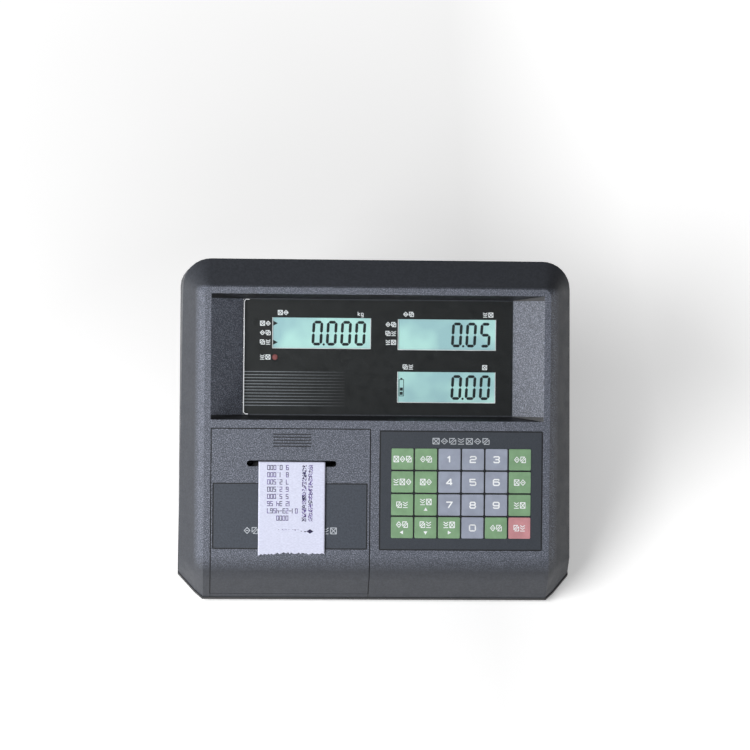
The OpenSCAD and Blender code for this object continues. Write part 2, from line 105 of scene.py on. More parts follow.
class Shader:
    """A material with a Principled shader and short calls for the nodes around it."""

    def __init__(self, name):
        self.material = bpy.data.materials.new(name)
        self.material.use_nodes = True
        self.tree = self.material.node_tree
        self.surface = self.tree.nodes["Principled BSDF"]
        self.place = self.add("ShaderNodeTexCoord").outputs["Object"]

    def add(self, kind, **values):
        node = self.tree.nodes.new(kind)
        for key, value in values.items():
            setattr(node, key, value)
        return node

    def link(self, source, target):
        self.tree.links.new(source, target)
        return source

    def noise(self, scale, detail=3.0, stretch=None):
        node = self.add("ShaderNodeTexNoise")
        node.inputs["Scale"].default_value = scale
        node.inputs["Detail"].default_value = detail
        source = self.place
        if stretch:
            mapping = self.add("ShaderNodeMapping")
            mapping.inputs["Scale"].default_value = stretch
            self.link(source, mapping.inputs["Vector"])
            source = mapping.outputs["Vector"]
        self.link(source, node.inputs["Vector"])
        return node.outputs["Fac"]

    def ramp(self, source, low, high, start=0.35, end=0.65):
        node = self.add("ShaderNodeValToRGB")
        node.color_ramp.elements[0].position = start
        node.color_ramp.elements[0].color = (*low, 1)
        node.color_ramp.elements[1].position = end
        node.color_ramp.elements[1].color = (*high, 1)
        self.link(source, node.inputs["Fac"])
        return node.outputs["Color"]

    def span(self, source, low, high, start=0.3, end=0.7):
        node = self.add("ShaderNodeMapRange")
        node.inputs["From Min"].default_value = start
        node.inputs["From Max"].default_value = end
        node.inputs["To Min"].default_value = low
        node.inputs["To Max"].default_value = high
        self.link(source, node.inputs["Value"])
        return node.outputs["Result"]

    def maths(self, operation, first, second):
        node = self.add("ShaderNodeMath", operation=operation)
        for slot, value in zip(node.inputs, (first, second)):
            if isinstance(value, float):
                slot.default_value = value
            else:
                self.link(value, slot)
        return node.outputs["Value"]

    def along(self, direction):
        """Distance of the shaded point along a direction."""
        node = self.add("ShaderNodeVectorMath", operation="DOT_PRODUCT")
        node.inputs[1].default_value = direction
        self.link(self.place, node.inputs[0])
        return node.outputs["Value"]

    def between(self, value, low, high):
        """One where the value lies between low and high, otherwise nothing."""
        over = self.maths("GREATER_THAN", value, low)
        return self.maths("MULTIPLY", over, self.maths("LESS_THAN", value, high))

    def pick(self, factor, inside, outside):
        """The inside value where the factor is one and the outside value where it is zero."""
        node = self.add("ShaderNodeMix", data_type="FLOAT")
        self.link(factor, node.inputs["Factor"])
        self.link(outside, node.inputs["A"])
        self.link(inside, node.inputs["B"])
        return node.outputs["Result"]

    def mix(self, factor, first, second):
        node = self.add("ShaderNodeMix", data_type="RGBA")
        self.link(factor, node.inputs["Factor"])
        self.link(first, node.inputs["A"])
        self.link(second, node.inputs["B"])
        return node.outputs["Result"]

    def bump(self, source, depth):
        node = self.add("ShaderNodeBump")
        node.inputs["Strength"].default_value = 1.0
        node.inputs["Distance"].default_value = depth
        self.link(source, node.inputs["Height"])
        self.wire(Normal=node.outputs["Normal"])

    def set(self, **values):
        """Sets the main shader's sockets of these names."""
        for key, value in values.items():
            self.surface.inputs[key.replace("_", " ")].default_value = value

    def wire(self, **sources):
        """Links each source to the main shader's socket of its name."""
        for key, source in sources.items():
            self.link(source, self.surface.inputs[key.replace("_", " ")])

    def shades(self, source, colour, low, high):
        """A colour that goes from one share of itself to another as the source rises."""
        return self.ramp(source, tone(colour, low), tone(colour, high))


def tone(colour, factor):
    return tuple(min(1.0, part * factor) for part in colour)


MOTTLE_SCALE = 0.08                       # of the colour's mottle, against the scale of the grain
UNEVEN_SCALE = 0.2                        # of the uneven roughness, likewise
UNEVEN = (0.85, 1.15)                     # range of the roughness, as shares of its middle value


def grained(name, colour, rough=0.5, scale=900, depth=0.00004, spread=0.12, **extra):
    """A surface with mottled colour, uneven roughness and a fine grain."""
    shader = Shader(name)
    mottle = shader.noise(scale * MOTTLE_SCALE, 5)
    shader.wire(Base_Color=shader.shades(mottle, colour, 1 - spread, 1 + spread))
    uneven = shader.noise(scale * UNEVEN_SCALE)
    shader.wire(Roughness=shader.span(uneven, rough * UNEVEN[0], min(1.0, rough * UNEVEN[1])))
    shader.bump(shader.noise(scale), depth)
    shader.set(**extra)
    return shader.material


LINE_SCALE = 220
LINE_TINT = (0.82, 1.1)
LINE_ROUGH = (0.8, 1.3)                   # range of the roughness, as shares of its middle value
LINE_DEPTH = 0.02 * MM


def brushed(name, colour, direction=(1, 30, 30), rough=0.32):
    """Bare metal with fine lines, stretched along one direction."""
    shader = Shader(name)
    lines = shader.noise(LINE_SCALE, 6, stretch=direction)
    shader.wire(Base_Color=shader.shades(lines, colour, *LINE_TINT))
    shader.wire(Roughness=shader.span(lines, *(rough * share for share in LINE_ROUGH)))
    shader.bump(lines, LINE_DEPTH)
    shader.set(Metallic=1.0)
    return shader.material


# ---- materials ----

CASE_DARK = (0.060, 0.068, 0.086)
CASE_LIGHT = (0.208, 0.225, 0.283)
CASE_PLAIN = (0.042, 0.046, 0.056)
SPECK_SCALE = 1650
SPECK_SPLIT = (0.47, 0.63)                # the noise is dark below the first and light above the second
SPECK_DEPTH = 0.12 * MM
CALM_SCALE = 700                          # grain of the parts that have no specks
CALM_TINT = (0.88, 1.14)
PATCH_SCALE = 140
PATCH_ROUGH = (0.44, 0.56)
PAINTED_GROOVE_TINT = (0.8, 1.2)
RECESS_PAINTED_SHADE = 0.35                       # painted shade on the upper and lower recess walls, as a share of the plain colour
PAINTED_GROOVE_SHADE = (0.018, 0.020, 0.024)            # painted shade along the seam round the cover and in the grip grooves
# half width of the painted shade along the cover seam
SEAM_SHADE_HALF = 0.5 * MM
GRIP_U = (-12.6 * MM, 12.8 * MM)          # grip grooves, from the middle of the paper strip
GRIP_V = (75.1 * MM, 84.9 * MM)
GRIP_FIRST = 76.0 * MM                    # middle of the lowest groove
GRIP_PITCH = 2.0 * MM
# half width of the painted shade in each grip groove
GRIP_SHADE_HALF = 0.35 * MM
FADE_DEPTH = (8.0 * MM, 3.5 * MM)         # the specks fade between these depths below the panel face
FADE_LOW = (-8.0 * MM, 3.0 * MM)          # and between these heights at the panel's lower end
FADE_HIGH = (-0.6 * MM, 1.4 * MM)         # and at its upper end
RECESS_HALF = 111.6 * MM                  # half width of the display recess at the panel
RECESS_V = (93.6 * MM, 177.7 * MM)        # its lower and upper edge, from the lower end of the flat panel


def case_material():
    """Charcoal moulding, spark-textured on the panel and its chamfers, calmer on the roof, lip and back, with
    painted shade on the upper and lower recess walls, along the cover seam and in the grip grooves.
    """
    shader = Shader("case_moulding")
    out = shader.along(tuple(OUT))
    up = shader.along(tuple(UP))
    near = shader.span(out, 0.0, 1.0, *(PANEL_N - depth for depth in FADE_DEPTH))
    low = shader.span(up, 0.0, 1.0, *(PANEL_LOW_V + v for v in FADE_LOW))
    high = shader.span(up, 1.0, 0.0, *(PANEL_HIGH_V + v for v in FADE_HIGH))
    flat = shader.maths("MULTIPLY", shader.maths("MULTIPLY", near, low), high)
    side = shader.maths("ABSOLUTE", shader.along(tuple(ACROSS)), 0.0)
    opening = shader.maths("LESS_THAN", side, RECESS_HALF)
    opening = shader.maths("MULTIPLY", opening, shader.between(up, *(PANEL_LOW_V + v for v in RECESS_V)))
    opening = shader.maths("MULTIPLY", opening, shader.maths("GREATER_THAN", out, MASK_LOW.z))
    sides = shader.between(up, LENS_LOW.y, LENS_HIGH.y)
    area = shader.pick(opening, sides, flat)
    specks = shader.noise(SPECK_SCALE, 1.5)
    patches = shader.noise(PATCH_SCALE, 3)
    tint = shader.ramp(specks, CASE_DARK, CASE_LIGHT, *SPECK_SPLIT)
    calm = shader.noise(CALM_SCALE, 2)
    plain = shader.shades(calm, CASE_PLAIN, *CALM_TINT)
    # painted shade: the upper and lower walls of the display recess are darker in their colour
    recess_shade = tone(CASE_PLAIN, RECESS_PAINTED_SHADE)
    plain = shader.mix(opening, plain, shader.shades(calm, recess_shade, *CALM_TINT))
    groove_shade = shader.shades(patches, PAINTED_GROOVE_SHADE, *PAINTED_GROOVE_TINT)
    # painted shade: dark lines along the cover seam and in the grip grooves
    lines = shader.maths("MAXIMUM", cover_seam_shade(shader, up), grip_groove_shade(shader, up))
    shader.wire(Base_Color=shader.mix(lines, shader.mix(area, plain, tint), groove_shade))
    shader.wire(Roughness=shader.span(patches, *PATCH_ROUGH))
    shader.bump(specks, SPECK_DEPTH)
    return shader.material


def cover_seam_shade(shader, up):
    """Mask of the painted shade along the seam round the printer cover: one there, otherwise nothing."""
    across = shader.along(tuple(ACROSS))
    left, right, top = COVER_LOW.x, COVER_HIGH.x, COVER_HIGH.y
    below = shader.maths("LESS_THAN", up, top + SEAM_SHADE_HALF)
    sides = shader.maths("MAXIMUM", shader.between(across, left - SEAM_SHADE_HALF, left + SEAM_SHADE_HALF / 2),
                         shader.between(across, right - SEAM_SHADE_HALF / 2, right + SEAM_SHADE_HALF))
    upper = shader.maths("MULTIPLY", shader.between(up, top - SEAM_SHADE_HALF / 2, top + SEAM_SHADE_HALF),
                         shader.between(across, left, right))
    return shader.maths("MAXIMUM", shader.maths("MULTIPLY", sides, below), upper)


def grip_groove_shade(shader, up):
    """Mask of the painted shade in the short grooves over the slot: one there, otherwise nothing."""
    across = shader.along(tuple(ACROSS))
    middle = (SLIP_LOW.x + SLIP_HIGH.x) / 2
    phase = shader.maths("PINGPONG", shader.maths("SUBTRACT", up, PANEL_LOW_V + GRIP_FIRST), GRIP_PITCH / 2)
    field = shader.maths("MULTIPLY", shader.between(across, middle + GRIP_U[0], middle + GRIP_U[1]),
                         shader.between(up, PANEL_LOW_V + GRIP_V[0], PANEL_LOW_V + GRIP_V[1]))
    return shader.maths("MULTIPLY", field, shader.maths("LESS_THAN", phase, GRIP_SHADE_HALF))


OVERLAY = (0.034, 0.041, 0.053)
OVERLAY_SHADE_EDGE = 0.8 * MM                   # width of the painted shade along the edge
OVERLAY_TINT = (0.86, 1.14)
OVERLAY_GAP_SHADE = (0.15, 0.25)               # shares of the colour in the painted shade along the edge and between the keys
OVERLAY_SCALE = 1700
OVERLAY_ROUGH = (0.47, 0.63)
OVERLAY_DEPTH = 0.05 * MM


def overlay_material():
    """Matt keypad film, with painted shade between the keys and along its edge."""
    shader = Shader("overlay_film")
    up = shader.along(tuple(UP))
    across = shader.along(tuple(ACROSS))
    keys_low, keys_high = panel_box("key_r4c1")[0], panel_box("key_r1c6")[1]
    keys = shader.maths("MULTIPLY", shader.between(across, keys_low.x, keys_high.x),
                        shader.between(up, keys_low.y, keys_high.y))
    inner = shader.maths("MULTIPLY",
                         shader.between(across, PAD_LOW.x + OVERLAY_SHADE_EDGE, PAD_HIGH.x - OVERLAY_SHADE_EDGE),
                         shader.between(up, PAD_LOW.y + OVERLAY_SHADE_EDGE, PAD_HIGH.y - OVERLAY_SHADE_EDGE))
    grain = shader.noise(OVERLAY_SCALE)
    film = shader.shades(grain, OVERLAY, *OVERLAY_TINT)
    # painted shade: the film is darker between the keys and along its edge
    dark = shader.shades(grain, OVERLAY, *OVERLAY_GAP_SHADE)
    plain = shader.maths("MULTIPLY", inner, shader.maths("SUBTRACT", 1.0, keys))
    shader.wire(Base_Color=shader.mix(plain, dark, film))
    uneven = shader.noise(OVERLAY_SCALE * UNEVEN_SCALE)
    shader.wire(Roughness=shader.span(uneven, *OVERLAY_ROUGH))
    shader.bump(grain, OVERLAY_DEPTH)
    return shader.material


LENS_GLOSS = 0.35                         # share of the acrylic's mirror image that its glare coating leaves
LENS_INDEX = 1.49
LENS_ROUGH = (0.02, 0.09)
LENS_SMEAR = 30
LENS_TINT = (0.97, 0.98, 0.98, 1)


def lens_material():
    """Clear acrylic: it lets the display through and mirrors the room a little, on its outer side only."""
    material = bpy.data.materials.new("clear_lens")
    material.use_nodes = True
    tree = material.node_tree
    tree.nodes.clear()
    output = tree.nodes.new("ShaderNodeOutputMaterial")
    mix = tree.nodes.new("ShaderNodeMixShader")
    clear = tree.nodes.new("ShaderNodeBsdfTransparent")
    gloss = tree.nodes.new("ShaderNodeBsdfGlossy")
    fresnel = tree.nodes.new("ShaderNodeFresnel")
    side = tree.nodes.new("ShaderNodeNewGeometry")
    front = tree.nodes.new("ShaderNodeMath")
    facing = tree.nodes.new("ShaderNodeMath")
    place = tree.nodes.new("ShaderNodeTexCoord")
    smear = tree.nodes.new("ShaderNodeTexNoise")
    spread = tree.nodes.new("ShaderNodeMapRange")
    smear.inputs["Scale"].default_value = LENS_SMEAR
    smear.inputs["Detail"].default_value = 4
    spread.inputs["To Min"].default_value = LENS_ROUGH[0]
    spread.inputs["To Max"].default_value = LENS_ROUGH[1]
    fresnel.inputs["IOR"].default_value = LENS_INDEX
    front.operation = "MULTIPLY_ADD"
    front.inputs[1].default_value = -LENS_GLOSS
    front.inputs[2].default_value = LENS_GLOSS
    facing.operation = "MULTIPLY"
    clear.inputs["Color"].default_value = LENS_TINT
    tree.links.new(place.outputs["Object"], smear.inputs["Vector"])
    tree.links.new(smear.outputs["Fac"], spread.inputs["Value"])
    tree.links.new(spread.outputs["Result"], gloss.inputs["Roughness"])
    tree.links.new(side.outputs["Backfacing"], front.inputs[0])
    tree.links.new(front.outputs["Value"], facing.inputs[0])
    tree.links.new(fresnel.outputs["Fac"], facing.inputs[1])
    tree.links.new(facing.outputs["Value"], mix.inputs["Fac"])
    tree.links.new(clear.outputs["BSDF"], mix.inputs[1])
    tree.links.new(gloss.outputs["BSDF"], mix.inputs[2])
    tree.links.new(mix.outputs["Shader"], output.inputs["Surface"])
    return material


LCD_DEEP = (0.24, 0.39, 0.41)
LCD_PALE = (0.33, 0.53, 0.50)
LCD_SPLIT = (0.38, 0.62)
LCD_SCALE = 38
LCD_GRAIN = 1400
LCD_DEPTH = 0.008 * MM
LCD_GLOW = 0.55


def lcd_material():
    """Lit display glass, a little uneven where the backlight falls off."""
    shader = Shader("lcd_glass")
    tint = shader.ramp(shader.noise(LCD_SCALE, 2), LCD_DEEP, LCD_PALE, *LCD_SPLIT)
    shader.wire(Base_Color=tint, Emission_Color=tint)
    shader.bump(shader.noise(LCD_GRAIN), LCD_DEPTH)
    shader.set(Roughness=0.25, Emission_Strength=LCD_GLOW)
    return shader.material


FINE_DEPTH = 0.03 * MM
BOARD_DARK = (0.012, 0.10, 0.045)
BOARD_TRACK = (0.03, 0.19, 0.08)


def board_material():
    """Green solder mask over faint tracks."""
    shader = Shader("solder_mask")
    traces = shader.noise(300, 1, stretch=(1, 6, 6))
    shader.wire(Base_Color=shader.ramp(traces, BOARD_DARK, BOARD_TRACK, 0.47, 0.53))
    shader.bump(traces, FINE_DEPTH)
    shader.set(Roughness=0.35)
    return shader.material


PAPER_SHADE = (0.56, 0.58, 0.72)
PAPER_WHITE = (0.66, 0.68, 0.83)


def paper_material():
    """Uncoated strip paper with fibres and a cool white tint."""
    shader = Shader("strip_paper")
    fibres = shader.noise(700, 6, stretch=(1, 3, 3))
    shader.wire(Base_Color=shader.ramp(fibres, PAPER_SHADE, PAPER_WHITE))
    shader.bump(fibres, FINE_DEPTH)
    shader.set(Roughness=0.85)
    return shader.material


MATERIALS = {
    "case_plastic": case_material(),
    "pan_steel": grained("pan_coat", (0.030, 0.031, 0.034), 0.45, 1400, 0.00003),
    "panel_steel": brushed("sheet_steel", (0.50, 0.51, 0.53)),
    "foot_rubber": grained("foot_rubber", (0.022, 0.022, 0.022), 0.8, 900, 0.00008),
    "screw_steel": brushed("screw_plating", (0.62, 0.62, 0.64), (8, 8, 1), 0.25),
    "lens_clear": lens_material(),
    "black_print": grained("black_print", (0.007, 0.008, 0.009), 0.5, 900, 0.000004),
    "lcd_glass": lcd_material(),
    "white_plastic": grained("diffuser", (0.75, 0.77, 0.76), 0.6),
    "board": board_material(),
    "led_red": grained("led_red", (0.36, 0.13, 0.13), 0.2, 900, 0.00003, 0.5),
    "overlay": overlay_material(),
    "label": grained("label_film", (0.054, 0.063, 0.080), 0.42, 12000, 0.00001, 0.16),
    "paper": paper_material(),
    "black_plastic": grained("black_plastic", (0.018, 0.018, 0.020), 0.5),
    "grey_plastic": grained("grey_plastic", (0.40, 0.41, 0.43), 0.5),
    "bright_steel": brushed("bright_steel", (0.66, 0.67, 0.69), (1, 20, 20), 0.22),
    "roller_rubber": grained("roller_rubber", (0.04, 0.04, 0.042), 0.75),
    "brass": brushed("brass", (0.72, 0.52, 0.20), (20, 1, 20), 0.28),
    "transformer_steel": brushed("laminations", (0.30, 0.30, 0.31), (1, 1, 60), 0.45),
    "battery_case": grained("battery_case", (0.035, 0.036, 0.042), 0.6),
    "rocker_red": grained("rocker_red", (0.42, 0.02, 0.025), 0.3, 900, 0.00001),
    "key_green": grained("key_green", (0.195, 0.335, 0.190), 0.5, 1700, 0.00004, 0.08),
    "key_grey": grained("key_grey", (0.285, 0.315, 0.395), 0.5, 1700, 0.00004, 0.08),
    "key_red": grained("key_red", (0.53, 0.245, 0.265), 0.5, 1700, 0.00004, 0.08),
}
WHITE_INK = grained("white_ink", (0.80, 0.82, 0.84), 0.6, 900, 0.00001, 0.05)
SILVER_INK = grained("silver_ink", (0.43, 0.46, 0.50), 0.6, 900, 0.00001, 0.1)
BORDER_INK = grained("border_ink", (0.010, 0.011, 0.013), 0.7, 900, 0.00001, 0.2)
PURPLE_INK = grained("purple_ink", (0.095, 0.060, 0.215), 0.8, 9000, 0.00001, 0.75)
NAVY_INK = grained("navy_ink", (0.030, 0.024, 0.085), 0.8, 9000, 0.00001, 0.5)
# painted highlight: the bright cut edges of the lens and of the window mask
HIGHLIGHT_WHITE = grained("painted_edge_highlight", (0.72, 0.74, 0.76), 0.3, 900, 0.00001, 0.2)
SEGMENT_DARK = grained("segment_dark", (0.012, 0.018, 0.02), 0.4, 900, 0.000004)


# ---- CAD parts ----

EDGE_MM = {"hood": 0.9, "printer_cover": 0.35, "base_pan": 0.35, "battery": 1.2, "transformer": 0.5,
           "keypad_overlay": 0.08, "display_lens": 0.35, "mains_inlet": 0.5, "feet": 0.3, "power_rocker": 0.4,
           "drive_motor": 0.5, "ribbon_cassette": 0.6, "printer_tub": 0.5, "head_carriage": 0.4}
KEY_EDGE_MM = 0.12
SMALL_EDGE_MM = 0.15
WELD_GAP = 0.002 * MM
FLAT_ANGLE = math.radians(0.5)            # faces that turn by less than this are joined
EDGE_ANGLE = math.radians(24)             # edges that turn by more than this are rounded


def soften(node):
    """Rounds the edges of a CAD part with modifiers, which leave its own mesh alone."""
    part = NODES[node]
    for polygon in part.data.polygons:
        polygon.use_smooth = True
    weld = part.modifiers.new("weld", "WELD")
    weld.merge_threshold = WELD_GAP
    flats = part.modifiers.new("flats", "DECIMATE")
    flats.decimate_type = "DISSOLVE"
    flats.angle_limit = FLAT_ANGLE
    bevel = part.modifiers.new("edges", "BEVEL")
    bevel.width = EDGE_MM.get(node, KEY_EDGE_MM if node.startswith("key_r") else SMALL_EDGE_MM) * MM
    bevel.segments = 3
    bevel.limit_method = "ANGLE"
    bevel.angle_limit = EDGE_ANGLE
    bevel.use_clamp_overlap = True
    part.modifiers.new("normals", "WEIGHTED_NORMAL")


def dress_cad():
    """Gives every CAD part its material and its rounded edges."""
    for entry in RECORD["subparts"]:
        part = NODES[entry["node"]]
        part.data.materials.clear()
        part.data.materials.append(MATERIALS[entry["material_slot"]])
        soften(entry["node"])


# ---- flat printed shapes ----

INK_GAP = 0.01 * MM                       # from the printed surface to the ink
INK_T = 0.03 * MM
INK_STEP = 0.002 * MM                     # overlapping shapes differ in height by this
INK_STEPS = 8


def add_mesh(name, vertices, faces, material, body, slot):
    """A new piece that rides on a body and takes the given material; the slot argument is not used."""
    mesh = bpy.data.meshes.new(name)
    mesh.from_pydata(vertices, [], faces)
    mesh.update()
    piece = bpy.data.objects.new(name, mesh)
    bpy.context.scene.collection.objects.link(piece)
    piece.data.materials.append(material)
    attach(piece, body)
    return piece


class Print:
    """Collects flat shapes on the panel and turns them into one thin piece."""

    def __init__(self, origin):
        self.origin = origin
        self.vertices = []
        self.faces = []
        self.shapes = 0

    def polygon(self, points):
        start = len(self.vertices)
        count = len(points)
        self.shapes += 1
        for lift in (0, INK_T + self.shapes % INK_STEPS * INK_STEP):
            for x, y in points:
                self.vertices.append(self.origin + ACROSS * x + UP * y + OUT * lift)
        self.faces.append([start + count + i for i in range(count)])
        for i in range(count):
            j = (i + 1) % count
            self.faces.append([start + i, start + j, start + count + j, start + count + i])

    def disc(self, x, y, radius, sides=10):
        turns = [i * math.tau / sides for i in range(sides)]
        self.polygon([(x + radius * math.cos(turn), y + radius * math.sin(turn)) for turn in turns])

    def line(self, points, width):
        for (x0, y0), (x1, y1) in zip(points, points[1:]):
            length = math.hypot(x1 - x0, y1 - y0)
            sx = -(y1 - y0) / length * width / 2
            sy = (x1 - x0) / length * width / 2
            self.polygon([(x0 + sx, y0 + sy), (x0 - sx, y0 - sy), (x1 - sx, y1 - sy), (x1 + sx, y1 + sy)])
        for x, y in points[1:-1]:
            self.disc(x, y, width / 2)

    def bar(self, x, y, width, height):
        self.polygon([(x - width / 2, y - height / 2), (x + width / 2, y - height / 2),
                      (x + width / 2, y + height / 2), (x - width / 2, y + height / 2)])

    def finish(self, name, material, body, slot):
        return add_mesh(name, self.vertices, self.faces, material, body, slot)


# Which of the seven bars each numeral lights. From a to g they are the top, upper right, lower right,
# bottom, lower left, upper left and middle bar.
LIT = {"0": "abcdef", "1": "bc", "2": "abged", "3": "abgcd", "4": "fgbc", "5": "afgcd", "6": "afgedc",
       "7": "abc", "8": "abcdefg", "9": "gfabcd", "-": "g", " ": ""}


def bar_ends(letter, width, height):
    """End points of one of the seven bars of a numeral cell."""
    left, right, low, middle, high = 0, width, 0, height / 2, height
    return {"a": ((left, high), (right, high)), "b": ((right, high), (right, middle)),
            "c": ((right, middle), (right, low)), "d": ((left, low), (right, low)),
            "e": ((left, middle), (left, low)), "f": ((left, high), (left, middle)),
            "g": ((left, middle), (right, middle))}[letter]


# ---- display ----

DIGIT_PITCH = 9.65 * MM
DIGIT_W = 5.3 * MM
DIGIT_H = 14.8 * MM
BAR_W = 1.9 * MM
SLANT = 0.05                              # lean of the numerals, across for each step up
BAR_TRIM = 0.14 * MM                      # cut from each end of a bar, so that bars don't touch
WINDOW_RIM = 1.5 * MM                     # glass hidden behind the mask on each side
DIGIT_MARGIN = 3.3 * MM                   # from the last digit to the right edge of its window
POINT_R = BAR_W * 0.42
POINT_SHIFT = (-0.5 * MM, -0.2 * MM)      # of a decimal point, from midway between two digits' feet
POINTER_LIFTS = (6.4 * MM, -6.4 * MM)     # the two pointers at the left of the first window
POINTER_U = (0.3 * MM, 3.5 * MM)          # from the window's left edge
POINTER_HALF = 1.7 * MM
BATTERY_U = 2.6 * MM                      # from the left edge of its window
LCD_TEXTS = ["0.000", "0.05", "0.00"]
FACING = 0.99                             # a face counts as front-facing above this


def lcd_middles():
    """Middle, width and height of the three display windows, from the glass node, top left first."""
    mesh = NODES["lcd_glasses"].data
    tops = {}
    for polygon in mesh.polygons:
        if polygon.normal.dot(OUT) > FACING:
            spot = polygon.center
            key = (spot.dot(ACROSS) > 0, spot.dot(UP) > (GLASS_LOW.y + GLASS_HIGH.y) / 2)
            tops.setdefault(key, []).extend(mesh.vertices[i].co for i in polygon.vertices)
    middles = []
    for key in ((False, True), (True, True), (True, False)):
        us = [p.dot(ACROSS) for p in tops[key]]
        vs = [p.dot(UP) for p in tops[key]]
        middles.append(((min(us) + max(us)) / 2, (min(vs) + max(vs)) / 2,
                        max(us) - min(us) - 2 * WINDOW_RIM, max(vs) - min(vs) - 2 * WINDOW_RIM))
    return middles


def segment_shape(sheet, ends, at):
    """One lit bar with pointed ends."""
    (x0, y0), (x1, y1) = ends
    length = math.hypot(x1 - x0, y1 - y0)
    dx, dy = (x1 - x0) / length, (y1 - y0) / length
    half = BAR_W / 2
    x0, y0 = x0 + dx * BAR_TRIM, y0 + dy * BAR_TRIM
    x1, y1 = x1 - dx * BAR_TRIM, y1 - dy * BAR_TRIM
    points = [(x0, y0), (x0 + (dx + dy) * half, y0 + (dy - dx) * half),
              (x1 + (dy - dx) * half, y1 - (dx + dy) * half), (x1, y1),
              (x1 - (dx + dy) * half, y1 + (dx - dy) * half), (x0 + (dx - dy) * half, y0 + (dy + dx) * half)]
    sheet.polygon([(at[0] + x + SLANT * (y - DIGIT_H / 2), at[1] + y) for x, y in points])


def window_figures(text):
    """The numerals of a text, each with whether a decimal point follows it."""
    figures = []
    for letter in text:
        if letter == ".":
            figures[-1] = (figures[-1][0], True)
        else:
            figures.append((letter, False))
    return figures


def lcd_digits():
    """The lit bars, decimal points and symbols of the three windows."""
    middles = lcd_middles()
    lit = Print(OUT * (GLASS_HIGH.z + INK_GAP))
    for (u, v, width, height), text in zip(middles, LCD_TEXTS):
        right = u + width / 2 - DIGIT_MARGIN - BAR_W / 2
        low = v - DIGIT_H / 2
        for place, (figure, point) in enumerate(reversed(window_figures(text))):
            x = right - DIGIT_W - place * DIGIT_PITCH
            for bar in LIT[figure]:
                segment_shape(lit, bar_ends(bar, DIGIT_W, DIGIT_H), (x, low))
            if point:
                between = x + (DIGIT_PITCH + DIGIT_W) / 2
                lit.disc(between + POINT_SHIFT[0], low + POINT_SHIFT[1], POINT_R)
    u, v, width, height = middles[0]
    base, tip = (u - width / 2 + offset for offset in POINTER_U)
    for lift in POINTER_LIFTS:
        lit.polygon([(base, v + lift - POINTER_HALF), (tip, v + lift), (base, v + lift + POINTER_HALF)])
    u, v, width, height = middles[2]
    battery_symbol(lit, u - width / 2 + BATTERY_U, v)
    lit.finish("display_segments", SEGMENT_DARK, "case", "black_print")


def battery_symbol(sheet, x, y):
    """An upright battery outline with its cap and two of its level bars lit, in millimetres round x, y."""
    outline = [(-1.5, -6), (1.5, -6), (1.5, 5), (-1.5, 5), (-1.5, -6)]
    sheet.line([(x + a * MM, y + b * MM) for a, b in outline], 0.4 * MM)
    sheet.bar(x, y + 5.7 * MM, 1.4 * MM, 0.9 * MM)
    for level in (-4.2, -1.4):
        sheet.bar(x, y + level * MM, 2.0 * MM, 2.1 * MM)


# Plain patterns in place of lettering, each on a square from 0 to 1.
MARKS = [[[(0, 0), (0, 1), (1, 1), (1, 0), (0, 0)], [(0, 0), (1, 1)], [(0, 1), (1, 0)]],
         [[(0.5, 0), (1, 0.5), (0.5, 1), (0, 0.5), (0.5, 0)], [(0.25, 0.5), (0.75, 0.5)]],
         [[(0, 0.2), (0, 1), (0.8, 1), (0, 0.2)], [(1, 0.8), (1, 0), (0.2, 0), (1, 0.8)]],
         [[(0, 1), (0.5, 0.7), (1, 1)], [(0, 0.6), (0.5, 0.3), (1, 0.6)], [(0, 0), (1, 0)]]]
MARK_W = 2.9 * MM
MARK_H = 2.9 * MM
MARK_PITCH = 3.8 * MM
MARK_LINE = 0.5 * MM
LEGEND_RISE = 3.3 * MM                    # middle of the marks over a window, from its upper edge
LEGEND_INSET = 3.6 * MM                   # and their left end, from the window's left edge
UNIT_INSET = 8.6 * MM                     # the unit's left end, from the window's right edge
UNIT_DROP = 1.6 * MM
SIDE_GAP = 1.6 * MM                       # from the marks beside a window to the window
# Heights of the rows beside the first and the second window, from the window's middle.
SIDE_ROWS = ((6.3 * MM, 0, -6.3 * MM), (6.6 * MM, 0.6 * MM, -5.4 * MM))
STRIPES = 12
STRIPE_U = 34.5 * MM                      # middle of the stripes, from the left edge of the lens
STRIPE_V = 6.3 * MM                       # lowest stripe, from the lower edge
STRIPE_PITCH = 2.06 * MM
STRIPE_W = 68 * MM
STRIPE_H = 0.55 * MM


def mark_row(sheet, x, y, count, first=0, pitch=MARK_PITCH, width=MARK_W, height=MARK_H):
    """A row of small patterns whose left end is x and whose middle height is y."""
    for place in range(count):
        left = x + place * pitch
        for stroke in MARKS[(first + place) % len(MARKS)]:
            sheet.line([(left + a * width, y + (b - 0.5) * height) for a, b in stroke], MARK_LINE)


def lens_print():
    """White marks over and beside the windows, printed on the mask."""
    marks = Print(OUT * (MASK_HIGH.z + INK_GAP))
    middles = lcd_middles()
    for place, (u, v, width, height) in enumerate(middles):
        top = v + height / 2 + LEGEND_RISE
        mark_row(marks, u - width / 2 + LEGEND_INSET, top, 2, place)
        if place == 0:
            kilogram(marks, u + width / 2 - UNIT_INSET, top - UNIT_DROP)
        else:
            mark_row(marks, u + width / 2 - UNIT_INSET, top, 3 - place, place + 2)
    side = MARK_PITCH + MARK_W + SIDE_GAP
    for window, rows in enumerate(SIDE_ROWS):
        u, v, width, height = middles[window]
        levels = [v + row for row in rows]
        if window == 0:
            levels.append((LED_LOW.y + LED_HIGH.y) / 2)
        for place, level in enumerate(levels):
            mark_row(marks, u - width / 2 - side, level, 2, window + place)
    marks.finish("lens_legends", WHITE_INK, "case", "white_plastic")


